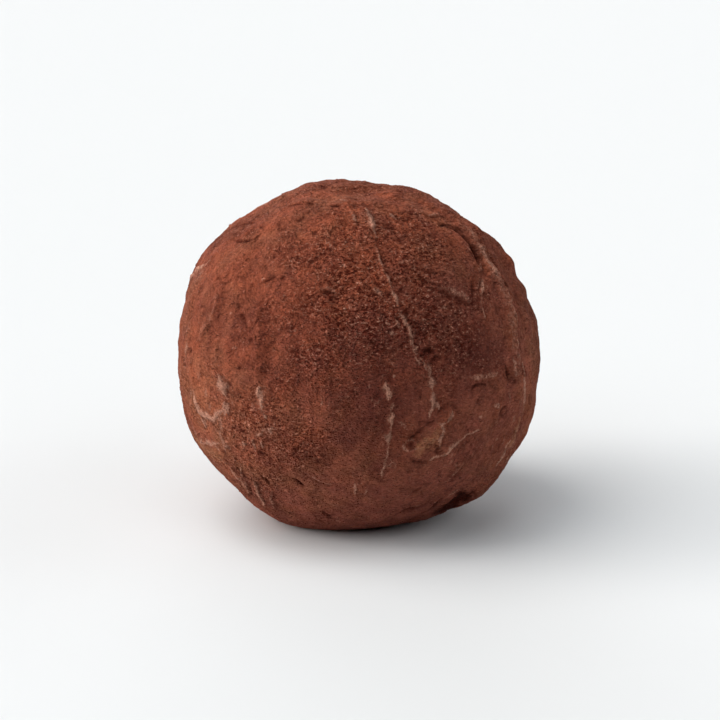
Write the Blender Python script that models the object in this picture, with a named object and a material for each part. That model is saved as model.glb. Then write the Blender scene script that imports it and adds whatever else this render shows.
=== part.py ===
"""A hand-rolled chocolate truffle in cocoa, resting on the small flat it settled on.

Units are metres with +Z up. The truffle is one closed solid: a slightly squashed
ball, pressed flatter where the palms rolled it, fuller where it swelled between
them, with one long fold down its right side and a few low ridges on its face.
A place on the ball is a bearing, turned from the front (-Y) towards the right (+X),
and a rise above the ball's widest level, both in degrees.
"""

import math

import bmesh
import bpy
import numpy as np

MM = 0.001

# Driving dimensions.
WIDTH = 30.2 * MM            # left to right, before the swells and flats
DEPTH = 30.0 * MM            # front to back
CROWN_HEIGHT = 14.5 * MM     # from the widest level up to the crown
FOOT_DROP = 13.5 * MM        # from the widest level down to the flat foot
FOOT_ROUNDING = 0.25 * MM    # how softly the side turns into the foot
FOOT_SINK = 0.08 * MM        # how far the settled underside is trimmed to make the foot flat
PALM_ROUNDING = 0.30 * MM    # how softly a pressed flat turns into the ball
FACE_STEPS = 20              # rows of triangles along each edge of the icosahedron
GRAZING = 0.2                # a flat's plane is followed no further than this cosine from its middle

# Flats that the palms pressed: bearing, rise, and how deep the flat lies in the ball.
PALM_FLATS = {
    "upper_right": (113.0, 54.0, 0.68 * MM),
    "crown": (150.0, 74.0, 0.42 * MM),
    "right_brow": (98.0, 27.0, 0.46 * MM),
    "left_waist": (-91.0, 3.0, 0.52 * MM),
    "front_left": (-38.0, 24.0, 0.22 * MM),
    "front_right": (36.0, -14.0, 0.26 * MM),
    "front_low": (-12.0, -34.0, 0.24 * MM),
    "back_high": (168.0, 26.0, 0.45 * MM),
    "back_left": (-138.0, 4.0, 0.40 * MM),
    "back_low": (140.0, -26.0, 0.34 * MM),
}

# Swells between the flats: bearing, rise, half width in degrees, height.
SWELLS = {
    "left_shoulder": (-100.0, 32.0, 11.0, 0.30 * MM),
    "left_crown": (-132.0, 62.0, 11.0, 0.10 * MM),
    "left_hip": (-82.0, -30.0, 14.0, 0.30 * MM),
    "left_heel": (-54.0, -61.0, 17.0, 0.78 * MM),
    "right_heel": (73.0, -43.0, 16.0, 0.72 * MM),
    "right_hip": (84.0, -20.0, 12.0, 0.26 * MM),
    "brow_lump": (33.0, 38.0, 11.0, 0.22 * MM),
    "back_belly": (-172.0, -18.0, 20.0, 0.30 * MM),
    "chip_hollow": (62.0, -49.0, 5.0, -0.40 * MM),
}

# Folds and ridges: half width, ridge height, depth of the groove that runs on its
# right side going down, and the places it passes from the top to the bottom.
FOLDS = {
    "side_fold": (
        3.2, 0.34 * MM, 0.30 * MM,
        ((84.0, 62.0), (76.0, 50.0), (67.0, 36.0), (61.0, 18.0), (59.5, 0.0), (64.0, -20.0), (72.0, -36.0)),
    ),
    "outer_fold": (
        2.8, 0.20 * MM, 0.22 * MM,
        ((92.0, 44.0), (81.0, 30.0), (72.0, 14.0), (68.0, -4.0), (72.0, -20.0)),
    ),
    "face_crease": (
        2.0, 0.12 * MM, 0.06 * MM,
        ((5.0, 69.0), (8.0, 50.0), (12.0, 33.0), (17.0, 18.0), (22.5, 2.0), (22.0, -10.0)),
    ),
    "low_ridge": (
        2.2, 0.16 * MM, 0.10 * MM,
        ((44.0, -9.0), (34.0, -14.0), (27.0, -17.0)),
    ),
    "left_ridge": (
        3.0, 0.14 * MM, 0.06 * MM,
        ((-37.0, 30.0), (-33.0, 16.0), (-29.0, 4.0)),
    ),
    "back_fold": (
        3.2, 0.24 * MM, 0.20 * MM,
        ((-150.0, 40.0), (-160.0, 22.0), (-166.0, 2.0), (-162.0, -18.0)),
    ),
}

COCOA_COLOR = (0.13, 0.045, 0.026, 1.0)
COCOA_ROUGHNESS = 0.95
SMOOTH_ANGLE = math.radians(35.0)


def direction(bearing, rise):
    """Unit vector from the ball's centre towards a place on it."""
    bearing, rise = math.radians(bearing), math.radians(rise)
    level = math.cos(rise)
    return np.array((math.sin(bearing) * level, -math.cos(bearing) * level, math.sin(rise)))


def ball_radius(dirs):
    """Distance from the centre to the plain squashed ball, along each direction."""
    half_axes = np.array((WIDTH / 2, DEPTH / 2, CROWN_HEIGHT))
    return 1.0 / np.linalg.norm(dirs / half_axes, axis=1)


def swell_relief(dirs, bearing, rise, spread, height):
    """A soft round swell, or a hollow where the height is below zero."""
    cosine = np.clip(dirs @ direction(bearing, rise), -1.0, 1.0)
    return height * np.exp(-(np.degrees(np.arccos(cosine)) / spread) ** 2)


def smooth_path(places, steps=6):
    """Points along a Catmull-Rom curve through the places, on the unit ball."""
    knots = [direction(*place) for place in places]
    knots = [2 * knots[0] - knots[1]] + knots + [2 * knots[-1] - knots[-2]]
    points = []
    for before, start, end, after in zip(knots, knots[1:], knots[2:], knots[3:]):
        for t in np.arange(steps) / steps:
            points.append(0.5 * (2 * start + (end - before) * t
                                 + (2 * before - 5 * start + 4 * end - after) * t ** 2
                                 + (3 * start - before - 3 * end + after) * t ** 3))
    points.append(knots[-2])
    points = np.array(points)
    return points / np.linalg.norm(points, axis=1)[:, None]


def fold_relief(dirs, half_width, ridge, groove, places):
    """A ridge along a path with a groove beside it, both fading out at the ends."""
    path = smooth_path(places)
    nearest = np.full(len(dirs), np.inf)
    sideways = np.zeros(len(dirs))
    along = np.zeros(len(dirs))
    for index, (start, end) in enumerate(zip(path, path[1:])):
        run = end - start
        share = np.clip((dirs - start) @ run / (run @ run), 0.0, 1.0)
        gap = dirs - (start + share[:, None] * run)
        distance = np.linalg.norm(gap, axis=1)
        closer = distance < nearest
        rightward = np.cross(start, run)
        rightward /= np.linalg.norm(rightward)
        nearest = np.where(closer, distance, nearest)
        sideways = np.where(closer, gap @ rightward, sideways)
        along = np.where(closer, (index + share) / (len(path) - 1), along)
    width = math.radians(half_width)
    fade = np.sin(np.pi * np.clip(along, 0.0, 1.0)) ** 0.5
    off_end = np.sqrt(np.clip(nearest ** 2 - sideways ** 2, 0.0, None))
    fade = fade * np.exp(-(off_end / width) ** 2)
    crest = ridge * np.exp(-(sideways / width) ** 2)
    trough = groove * np.exp(-((sideways - 1.8 * width) / width) ** 2)
    return fade * (crest - trough)


def soft_minimum(first, second, rounding):
    """The smaller of two distances, with the corner between them rounded."""
    overlap = np.clip(0.5 + 0.5 * (second - first) / rounding, 0.0, 1.0)
    blend = second + (first - second) * overlap
    return blend - rounding * overlap * (1.0 - overlap)


def press_flat(dirs, radius, toward, distance, rounding):
    """Trim the ball by a plane at a distance from the centre, with a soft rim."""
    plane = distance / np.maximum(dirs @ toward, GRAZING)
    return soft_minimum(radius, plane, rounding)


def truffle_points(dirs):
    """Surface points of the whole truffle for a set of unit directions."""
    radius = ball_radius(dirs)
    for bearing, rise, depth in PALM_FLATS.values():
        toward = direction(bearing, rise)
        distance = ball_radius(toward[None, :])[0] - depth
        radius = press_flat(dirs, radius, toward, distance, PALM_ROUNDING)
    for bearing, rise, spread, height in SWELLS.values():
        radius = radius + swell_relief(dirs, bearing, rise, spread, height)
    for half_width, ridge, groove, places in FOLDS.values():
        radius = radius + fold_relief(dirs, half_width, ridge, groove, places)
    down = np.array((0.0, 0.0, -1.0))
    radius = press_flat(dirs, radius, down, FOOT_DROP + FOOT_SINK, FOOT_ROUNDING)
    points = dirs * radius[:, None]
    points[:, 2] = np.maximum(points[:, 2], -FOOT_DROP)
    return points


def centre_over_foot(points):
    """Move the points so that the origin is under the middle of the box, on the foot."""
    low, high = points.min(axis=0), points.max(axis=0)
    return points - np.array(((low[0] + high[0]) / 2, (low[1] + high[1]) / 2, low[2]))


def ball_mesh():
    """An even ball of triangles: an icosahedron with its faces split and blown round."""
    mesh = bmesh.new()
    bmesh.ops.create_icosphere(mesh, subdivisions=1, radius=1.0)
    bmesh.ops.subdivide_edges(mesh, edges=mesh.edges[:], cuts=FACE_STEPS - 1, use_grid_fill=True)
    bmesh.ops.triangulate(mesh, faces=mesh.faces[:])
    return mesh


def cocoa_material():
    material = bpy.data.materials.new("cocoa_dusting")
    material.use_nodes = True
    shader = material.node_tree.nodes["Principled BSDF"]
    shader.inputs["Base Color"].default_value = COCOA_COLOR
    shader.inputs["Roughness"].default_value = COCOA_ROUGHNESS
    shader.inputs["Metallic"].default_value = 0.0
    return material


def make_truffle():
    mesh = ball_mesh()
    dirs = np.array([vert.co for vert in mesh.verts])
    dirs /= np.linalg.norm(dirs, axis=1)[:, None]
    for vert, point in zip(mesh.verts, centre_over_foot(truffle_points(dirs))):
        vert.co = point
    bmesh.ops.recalc_face_normals(mesh, faces=mesh.faces[:])
    data = bpy.data.meshes.new("truffle")
    mesh.to_mesh(data)
    mesh.free()
    data.shade_smooth()
    data.set_sharp_from_angle(angle=SMOOTH_ANGLE)
    data.materials.append(cocoa_material())
    truffle = bpy.data.objects.new("truffle", data)
    bpy.context.scene.collection.objects.link(truffle)
    return truffle


def main():
    for old in list(bpy.data.objects):
        bpy.data.objects.remove(old, do_unlink=True)
    make_truffle()


main()
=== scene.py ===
"""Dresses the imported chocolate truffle: its rolled skin, the cocoa on it, and a studio.

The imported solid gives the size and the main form. This file adds what is finer: the
folds, scrapes and cracks of the skin, the grains of cocoa that lie on it, their
colours, and the floor, lights and camera. A place on the truffle is a bearing, turned
from the front (-Y) towards the right (+X), and a rise above the ball's widest level,
both in degrees.
"""

import math
from typing import NamedTuple

import bmesh
import bpy
import numpy as np
from bpy.props import (
    FloatProperty,
    FloatVectorProperty,
    IntProperty,
    PointerProperty,
)
from bpy.types import Operator, Panel, PropertyGroup
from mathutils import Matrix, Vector, noise
from mathutils.bvhtree import BVHTree


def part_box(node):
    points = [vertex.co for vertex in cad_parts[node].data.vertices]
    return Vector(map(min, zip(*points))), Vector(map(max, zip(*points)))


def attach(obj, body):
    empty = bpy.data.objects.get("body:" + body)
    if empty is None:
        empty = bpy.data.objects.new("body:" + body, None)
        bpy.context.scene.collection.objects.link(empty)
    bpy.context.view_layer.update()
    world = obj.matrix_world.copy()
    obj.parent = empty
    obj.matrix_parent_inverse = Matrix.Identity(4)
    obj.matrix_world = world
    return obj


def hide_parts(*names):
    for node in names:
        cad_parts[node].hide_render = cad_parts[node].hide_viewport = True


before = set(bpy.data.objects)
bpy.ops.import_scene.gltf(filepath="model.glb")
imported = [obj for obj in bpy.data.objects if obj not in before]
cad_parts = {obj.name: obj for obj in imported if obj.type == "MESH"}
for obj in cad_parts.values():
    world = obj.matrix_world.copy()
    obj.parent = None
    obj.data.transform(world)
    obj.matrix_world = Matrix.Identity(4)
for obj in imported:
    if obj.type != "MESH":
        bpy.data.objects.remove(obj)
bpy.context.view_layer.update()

bl_info = {
    "name": "Chocolate Truffle",
    "version": (1, 0, 0),
    "blender": (4, 5, 0),
    "location": "View3D > Sidebar > Truffle",
    "description": "Dresses a packed truffle with its cocoa and sets a studio round it",
    "category": "Object",
}

MM = 0.001
NODE = "truffle"
BODY = "root"
LOW, HIGH = (Vector(corner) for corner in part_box(NODE))
# The ball's centre stands over the foot at this share of the truffle's height.
CENTRE = Vector((0.0, 0.0, 0.482 * HIGH.z))
REACH = (HIGH.x - LOW.x) / 2          # from the centre to the side
BAKE_MAP = "OFBake"
# The camera looks at a point this far from the ball's centre.
AIM_SIDEWAYS = 0.05 * MM
AIM_RISE = -0.613 * MM


# ---------------------------------------------------------------------------
# What the skin carries. Widths and heights are in millimetres.


# The six sides of the cube that is blown round: its two edges and the way it faces.
SIDES = (
    ((1, 0, 0), (0, 0, 1), (0, -1, 0)),
    ((0, 1, 0), (0, 0, 1), (1, 0, 0)),
    ((-1, 0, 0), (0, 0, 1), (0, 1, 0)),
    ((0, -1, 0), (0, 0, 1), (-1, 0, 0)),
    ((1, 0, 0), (0, 1, 0), (0, 0, 1)),
    ((1, 0, 0), (0, -1, 0), (0, 0, -1)),
)
NET_MARGIN = 0.006                    # bare rim round each side's square in the bake map


class Mark(NamedTuple):
    """A line on the skin."""

    places: tuple      # (bearing, rise) from one end to the other
    half_width: float
    height: float      # above the skin, or below it where this is below zero
    # A lip's groove also gets painted shadow, on the side away from the key light.
    lip: float         # depth of the groove along its lower or right-hand side
    rubbed: float      # how far the cocoa is rubbed pale
    ochre: float       # how far it is smeared to a yellower film
    # shade is the painted shade laid in a crack or groove.
    shade: float       # how dark it lies


def ridge(half_width, height, lip, rubbed, *places, ochre=0.0):
    """A raised line, rubbed pale; a lip adds painted shadow along its groove."""
    return Mark(places, half_width, height, lip, rubbed, ochre, 0.0)


def crack(half_width, depth, shade, *places):
    """A sunk line, with painted shade laid in it."""
    return Mark(places, half_width, -depth, 0.0, 0.0, 0.0, shade)


def around(bearing, rise, radius, start=0, end=360):
    """Places on a ring, or on part of one, of a radius in degrees: 0 is its right-hand end."""
    return tuple(
        (bearing + radius * math.cos(math.radians(turn)) / math.cos(math.radians(rise)),
         rise + radius * math.sin(math.radians(turn)))
        for turn in np.linspace(start, end, 9))


# In each crack, the number after its depth is the painted shade laid in it.
MARKS = {
    # The long fold down the right side: a smooth band between two grooves.
    "fold_band": ridge(0.7, 0.36, 0, 0.24, (67, 64), (66, 57), (65, 52), (64, 48), (62, 44), (60.5, 40),
        (59.5, 36), (58.6, 32), (58, 28), (57.4, 23), (56.6, 18), (55.6, 14), (55, 9), (54.8, 4),
        (55.8, -1), (57.4, -4), ochre=0.1),
    "fold_inner_line": ridge(0.18, 0.1, 0, 0.38, (65, 54), (64, 49), (62, 45), (59.8, 40.5), (58.4, 36),
        (57.6, 32), (57, 29)),
    "fold_outer_line": ridge(0.16, 0.07, 0, 0.38, (59.8, 31), (59.2, 27), (58.6, 22.5), (57.8, 18),
        (56.6, 13.5), (56, 9), (56, 4)),
    "fold_inner_groove": crack(0.25, 0.36, 0.85, (54.5, 54), (59, 51), (59.6, 47.5), (58.6, 44),
        (56.4, 40.5), (54, 37.5)),
    "fold_outer_groove": crack(0.22, 0.36, 0.85, (63.5, 38), (62.6, 34), (62, 30.5), (62.2, 27.5),
        (63.4, 24.5), (67, 20.5)),
    "fold_low_groove": crack(0.16, 0.15, 0.6, (59.3, 19), (59.8, 16.5)),
    "fold_second_ridge": ridge(0.24, 0.16, 0, 0.45, (56, 38.5), (51.5, 34.8), (48.7, 31.7),
        (46.2, 28.8), (44.2, 26)),
    "fold_second_groove": crack(0.16, 0.12, 0.5, (51, 38), (47, 35.4), (44.4, 32.2), (42.6, 29.5),
        (41, 27)),
    "hollow_edge": ridge(0.17, 0.08, 0.12, 0.4, (56, 38.7), (50, 35), (45.3, 31)),
    "hollow_line": ridge(0.14, 0.05, 0.05, 0.35, (44.8, 27.5), (45.2, 24), (44.7, 20.7)),
    "slit_inner": crack(0.15, 0.28, 1, (50.9, 6), (51.8, 4), (52.2, 1.7)),
    "slit_outer": crack(0.16, 0.3, 1, (61.3, 5.5), (61.8, 2.8), (64, -0.3)),
    "slit_top": crack(0.15, 0.22, 0.9, (59, 10.8), (60, 9)),
    "slit_low": crack(0.15, 0.22, 0.9, (68.3, -8), (71, -11.5)),
    "slit_lip": ridge(0.2, 0.08, 0, 0.75, (59, 5.4), (60, 1), (62.4, -4.3), (64, -8.7), (63.7, -12.7),
        ochre=0.1),
    "slit_lip_high": ridge(0.16, 0.06, 0, 0.5, (53.6, 8), (54, 4), (54.5, 1)),
    "fold_ring": crack(0.15, 0.1, 0.55, *around(50.8, -8.5, 1.5)),
    "heel_smear": ridge(0.4, 0.06, 0, 0.25, (61.6, -13), (61, -17), (61.6, -21), (62, -24), ochre=0.8),
    "heel_edge": ridge(0.22, 0.08, 0, 0.6, (59.6, -19), (59, -23), (59.6, -27), (57.5, -30.6)),
    "heel_fold": ridge(0.3, 0.08, 0.1, 0.35, (69, -32.5), (69, -38), (67.5, -40.5)),
    # The thin crease down the face.
    "crease_line": ridge(0.15, 0.045, 0.04, 0.34, (5, 66), (7.9, 56), (8, 47), (10.5, 38), (12.5, 31),
        (15, 24), (16.9, 16), (20, 11), (21.8, 5), (21.4, -3), (21, -6)),
    "crease_top": ridge(0.17, 0.1, 0.05, 0.75, (4.5, 67.2), (7, 62.4), (7.9, 58), (8.1, 54)),
    "crease_high": ridge(0.14, 0.06, 0.04, 0.25, (7.7, 52), (7.8, 47.4), (9, 43.8), (10.5, 38.3),
        (11.9, 33.4)),
    "crease_bend": ridge(0.15, 0.08, 0.04, 0.6, (11.5, 34.5), (12.2, 32.5), (13.3, 30.8)),
    "crease_mid": ridge(0.15, 0.11, 0.06, 0.95, (13.2, 27.4), (14.6, 25.2), (15.7, 22.6), (16.5, 20),
        (16.9, 17.4)),
    "crease_side": ridge(0.12, 0.05, 0.03, 0.45, (12, 25.5), (12.4, 23.8), (12.9, 22.6)),
    "crease_low": ridge(0.14, 0.06, 0.04, 0.55, (17, 14.8), (17.4, 13), (18, 11)),
    "crease_tail_top": ridge(0.13, 0.06, 0.04, 0.5, (20.6, 12), (21.2, 10), (21.6, 8.4)),
    "crease_tail": ridge(0.19, 0.09, 0.05, 0.85, (21.8, 7.6), (21.7, 5.8), (21.8, 4.2)),
    "crease_tail_low": ridge(0.17, 0.08, 0.05, 0.8, (22.4, 2.8), (22.2, 0.6), (21.5, -2), (20.9, -4.8)),
    "crease_fork": ridge(0.13, 0.06, 0.03, 0.65, (22.4, 0.2), (23.6, -1), (24.8, -2.6)),
    "crown_scrape_left": ridge(0.18, 0.07, 0.04, 0.5, (-6.7, 64.4), (-4, 62.4), (-2, 60)),
    "crown_scrape_right": ridge(0.15, 0.08, 0.1, 0.6, (22.4, 64.4), (24, 62.4), (25, 60.6)),
    "crown_smear": ridge(0.26, 0.05, 0.04, 0.35, (-26, 73.4), (-18, 72), (-12, 70)),
    "crown_smear_low": ridge(0.3, 0.05, 0, 0.2, (-40, 70.5), (-26, 71), (-13, 69)),
    "crown_dark": crack(0.24, 0.18, 0.9, (11, 59.5), (15.4, 57.8), (21, 56.4)),
    "crease_notch": crack(0.15, 0.14, 0.75, (5.4, 53.6), (7.4, 52.6), (9.4, 53)),
    # The broken streak below the middle, and the short strokes under it.
    "streak_high": ridge(0.22, 0.04, 0.02, 0.6, (7.8, 7), (8.3, 4), (8.6, 1.8), ochre=0.1),
    "streak_line": ridge(0.13, 0.03, 0.02, 0.34, (8.6, 1.8), (9.4, -2), (9.4, -6), (8.7, -10),
        (8.4, -15), (7.8, -19), (7.2, -23.5)),
    "streak_mid_top": ridge(0.14, 0.04, 0.03, 0.55, (10, 0.8), (9.7, -1.2), ochre=0.1),
    "streak_mid": ridge(0.21, 0.06, 0.03, 0.72, (9.7, -2.2), (9.5, -4), (9.7, -5.8), ochre=0.2),
    "streak_low": ridge(0.17, 0.05, 0.03, 0.75, (8.8, -8.3), (8.5, -10), (8.6, -12)),
    "streak_foot": ridge(0.16, 0.04, 0.03, 0.55, (8.2, -17.5), (7.6, -20), (7.2, -22.4), (7.6, -24.6)),
    "stroke_left": ridge(0.13, 0.04, 0.02, 0.35, (-1.8, -27), (-1.5, -30), (-1.4, -33)),
    "stroke_right": ridge(0.13, 0.04, 0.02, 0.4, (2.4, -27), (2.3, -29.5), (1.8, -33)),
    "streak_side": ridge(0.22, 0.03, 0, 0.25, (11.5, -5), (13.5, -7), (15, -9)),
    # The right cheek.
    "brow_crest": ridge(0.34, 0.13, 0.08, 0.28, (27, 34.5), (33, 32.5), (38, 30), (42, 27)),
    "brow_crest_high": ridge(0.3, 0.09, 0.07, 0.2, (24, 42), (31, 39.5), (37, 36.5)),
    "swirl": ridge(0.22, 0.1, 0.08, 0.25, (-16, 31.8), (-14.4, 33.5), (-11, 34.7), (-7, 33.2)),
    "swirl_right": ridge(0.22, 0.08, 0.07, 0.25, (3, 35.5), (6.5, 34.2), (8.5, 31.5)),
    "cross_ridge": ridge(0.26, 0.11, 0, 0.26, (31.6, 6.7), (37, 5.2), (43.2, 4.9), (48.8, 5)),
    "cross_crack": crack(0.13, 0.18, 0.85, (34.7, 0.7), (35.8, 2.3), (38, 2.8), (40.5, 2.7)),
    "smeared_patch": ridge(0.66, 0.06, 0, 0.2, (18, -16.6), (20.6, -14.4), (23, -12), (24.6, -9.6),
        ochre=1),
    "patch_top_edge": crack(0.17, 0.1, 0.48, (14.4, -15.4), (15, -11.6), (17.4, -9.5), (19, -7.7),
        (21, -7), (22.6, -6.5)),
    "patch_low_edge": crack(0.17, 0.09, 0.42, (15.4, -17.6), (17.8, -19.6), (20.6, -20.2),
        (23.2, -19.4)),
    "patch_right_edge": ridge(0.17, 0.06, 0, 0.45, (23.6, -6.8), (25.4, -8), (26.2, -10.4),
        (25.4, -13.6), (26.4, -16.6), ochre=0.4),
    "patch_squiggle": crack(0.12, 0.12, 0.75, (24, -14.2), (25.4, -15.2), (24.2, -16.4), (25.6, -17.4),
        (27, -16.6)),
    "patch_loop": crack(0.11, 0.09, 0.55, *around(21.8, -14.4, 0.9)),
    "patch_ring": ridge(0.13, 0.06, 0, 0.35, *around(15.8, -13.4, 2.0)),
    "low_ridge": ridge(0.15, 0.1, 0.05, 0.75, (26, -18.4), (27.6, -18.3), (30.3, -16), (34, -14),
        (37.3, -12.7), (40, -12.2), ochre=0.2),
    "low_ridge_foot": ridge(0.13, 0.05, 0, 0.55, (22.6, -19.6), (24.6, -18.8), (26.6, -18.9)),
    "soft_diagonal": ridge(0.32, 0.08, 0.05, 0.2, (30, -30.5), (32.8, -28.5), (35, -25), (38, -22),
        (42, -18)),
    "knob_arc": crack(0.16, 0.1, 0.52, (23.8, -4.4), (25.3, -2.5), (28, -1.6), (30, -3.2),
        (30.3, -6.4)),
    "knob_light": ridge(0.15, 0.08, 0, 0.65, (28.8, -3.6), (29, -5.6), (27.6, -7.2)),
    "knob_foot": ridge(0.12, 0.04, 0, 0.45, (24.4, -6.8), (25.8, -7.6), (27.2, -7.4)),
    "cheek_dash": crack(0.12, 0.14, 0.8, (19.5, -5.8), (21.2, -6.2), (22.6, -5.4)),
    # The chip: a hollow with heavy painted shadow, for the dark underside low on the right.
    "chip": crack(1.15, 0.38, 1.6, (42, -45.6), (46.5, -45), (50.5, -44), (54, -42)),
    "chip_foot": crack(1.1, 0.16, 1.6, (42.5, -50.4), (48, -49), (53, -46.6)),
    "chip_crack": crack(0.2, 0.22, 0.85, (31, -50), (34.3, -46), (35.2, -41.5), (36, -37.6),
        (37, -35.2)),
    "chip_lip": ridge(0.22, 0.09, 0, 0.6, (38, -40.5), (39.6, -38.4), (42.6, -36.6)),
    "underside_line": crack(0.2, 0.13, 0.65, (13, -51), (18.5, -45), (25, -43.3), (30, -41.3)),
    "underside_left": crack(0.18, 0.1, 0.5, (-10.5, -34.8), (-5, -38.5), (0.6, -40.2)),
    "underside_notch": crack(0.18, 0.14, 0.75, (-16, -43), (-14.6, -46.4), (-14.2, -49)),
    "underside_dent": crack(0.16, 0.12, 0.65, (19, -33.4), (20.8, -32), (22.2, -30.8)),
    # The scrapes low on the left.
    "scrape_high": ridge(0.32, 0.09, 0.08, 1, (-46.4, 4.2), (-45.4, 2.6), (-44.3, 0.8), (-43.5, -1.6),
        ochre=0.1),
    "scrape_low": ridge(0.26, 0.07, 0.05, 0.75, (-44.6, -4), (-43.8, -5.6), (-45.2, -8)),
    "scrape_spot": ridge(0.22, 0.05, 0, 0.4, (-41.2, -1.8), (-40.8, -3.6)),
    "scrape_hook": ridge(0.25, 0.08, 0.04, 0.95, (-60.6, -4.2), (-59.8, -7), (-58.6, -9.8),
        (-55.6, -10.6), (-51.6, -10.4), (-48.4, -8.8), (-45.8, -6.2), (-44.6, -3.6), ochre=0.1),
    "scrape_inner": ridge(0.14, 0.06, 0.04, 0.6, (-58.7, -11.4), (-58.3, -13.9), (-58, -16.2)),
    "scrape_rim": ridge(0.16, 0.05, 0, 0.55, (-73, 1), (-71.5, -2), (-71, -4.5), ochre=0.2),
    "scrape_middle": ridge(0.23, 0.08, 0.06, 0.9, (-31, 3.6), (-30.6, 2), (-29.9, -0.6), (-29.3, -3.6),
        ochre=0.1),
    "scrape_middle_foot": ridge(0.15, 0.05, 0.04, 0.4, (-29, -4), (-28.4, -6)),
    "scrape_arc": ridge(0.18, 0.07, 0.04, 0.5, (-33, -12.6), (-30.7, -10.4), (-28.4, -9)),
    "tick_left": ridge(0.14, 0.05, 0.04, 0.45, (-38.4, -14.8), (-38, -16.8)),
    "tick_middle": ridge(0.12, 0.04, 0.03, 0.35, (-34.2, -12), (-34.4, -15), (-33.8, -17)),
    "tick_right": ridge(0.13, 0.04, 0.03, 0.4, (-31, -13.2), (-30.8, -15.8)),
    "low_smear": ridge(0.22, 0.05, 0, 0.55, (-72, -23.6), (-64, -21.8), (-57.5, -20.9), (-51, -19.4),
        ochre=0.1),
    "low_smear_right": ridge(0.22, 0.05, 0.04, 0.45, (-49, -19), (-45.6, -18.2)),
    "rim_film": ridge(0.55, 0.04, 0, 0.15, (-80, -14), (-77, -21), (-68, -25.5), (-58, -25),
        (-52, -23.6), ochre=0.85),
    "heel_crest": ridge(0.34, 0.1, 0.08, 0.32, (-57, -25), (-53, -27.5), (-50.5, -31), (-49, -35.5),
        (-50, -40.5), ochre=0.3),
    "heel_crack_high": crack(0.16, 0.16, 0.8, (-46.6, -27), (-45, -29.4), (-44, -31.8)),
    "heel_crack": crack(0.17, 0.18, 0.85, (-35.4, -27), (-34.4, -29.4), (-34.6, -32)),
    "heel_crack_right": crack(0.18, 0.18, 0.9, (-25, -26.4), (-22.4, -28.2), (-19.6, -30.2)),
    "heel_line": ridge(0.2, 0.08, 0.06, 0.34, (-38.8, -26), (-40.4, -31), (-42.6, -36), (-43, -41),
        (-46, -46)),
    "heel_line_left": ridge(0.17, 0.07, 0.05, 0.3, (-43.4, -25), (-45.2, -29), (-46.8, -33),
        (-49, -37.5), (-52, -42)),
    "heel_line_middle": ridge(0.15, 0.06, 0.05, 0.24, (-33.6, -33.5), (-36.6, -38), (-38, -42),
        (-41.4, -47)),
    "heel_line_right": ridge(0.18, 0.06, 0.05, 0.3, (-18, -24), (-13, -27.5), (-8, -29.5)),
    "left_smear_outer": ridge(0.3, 0.05, 0, 0.26, (-68, 16), (-66, 8), (-66, 0)),
    # The left shoulder and the crown.
    "left_ridge": ridge(0.46, 0.1, 0.04, 0.08, (-37.6, 30), (-34.8, 22), (-31.6, 11.4), (-30.6, 5)),
    "left_ridge_outer": ridge(0.45, 0.08, 0.03, 0.16, (-55.8, 31.3), (-55, 22.6), (-57.2, 15.8),
        (-61.7, 10)),
    "shoulder_crest": ridge(0.22, 0.15, 0, 0.6, (-94, 22), (-90, 26.5), (-80, 31.4), (-74, 34.8)),
    "shoulder_shelf": ridge(0.5, 0.1, 0, 0.15, (-84, 20), (-76, 27), (-68, 31), ochre=0.1),
    "shoulder_crack": crack(0.17, 0.2, 0.9, (-72.7, 44.3), (-65.6, 45.3), (-59.5, 46.3), (-55.2, 48),
        (-55.6, 50)),
    "shoulder_crack_high": crack(0.2, 0.15, 0.65, (-98, 42), (-89, 47), (-75, 53)),
    "speck_crack": crack(0.08, 0.06, 0.7, (-38, 34.2), (-35.2, 35.3), (-32, 37.5)),
    "chain": crack(0.15, 0.13, 0.8, (-17.3, 45), (-19.4, 43.3), (-20.4, 41)),
    "left_ring": crack(0.12, 0.1, 0.7, *around(-53.3, 16.6, 1.0)),
    "crown_dash_left": crack(0.13, 0.12, 0.7, (-47, 67), (-41, 67.6)),
    "crown_dash": crack(0.15, 0.14, 0.8, (-25, 67.6), (-20.5, 67.9), (-16, 68.4)),
    "crown_line": crack(0.15, 0.07, 0.4, (-62, 63), (-50, 65.8), (-38, 66.4)),
    "crown_edge": ridge(0.22, 0.08, 0.1, 0.25, (48, 61), (56, 60), (62, 60.5)),
    "crown_edge_dark": crack(0.18, 0.13, 0.7, (49, 55), (54, 55), (58, 53)),
}


class Spot(NamedTuple):
    """A round bump on the skin, or a pit where the height is below zero."""

    place: tuple       # (bearing, rise) of its middle
    half_width: float
    height: float
    rubbed: float = 0.0
    # shade is painted shade, laid in a pit.
    shade: float = 0.0


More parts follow.
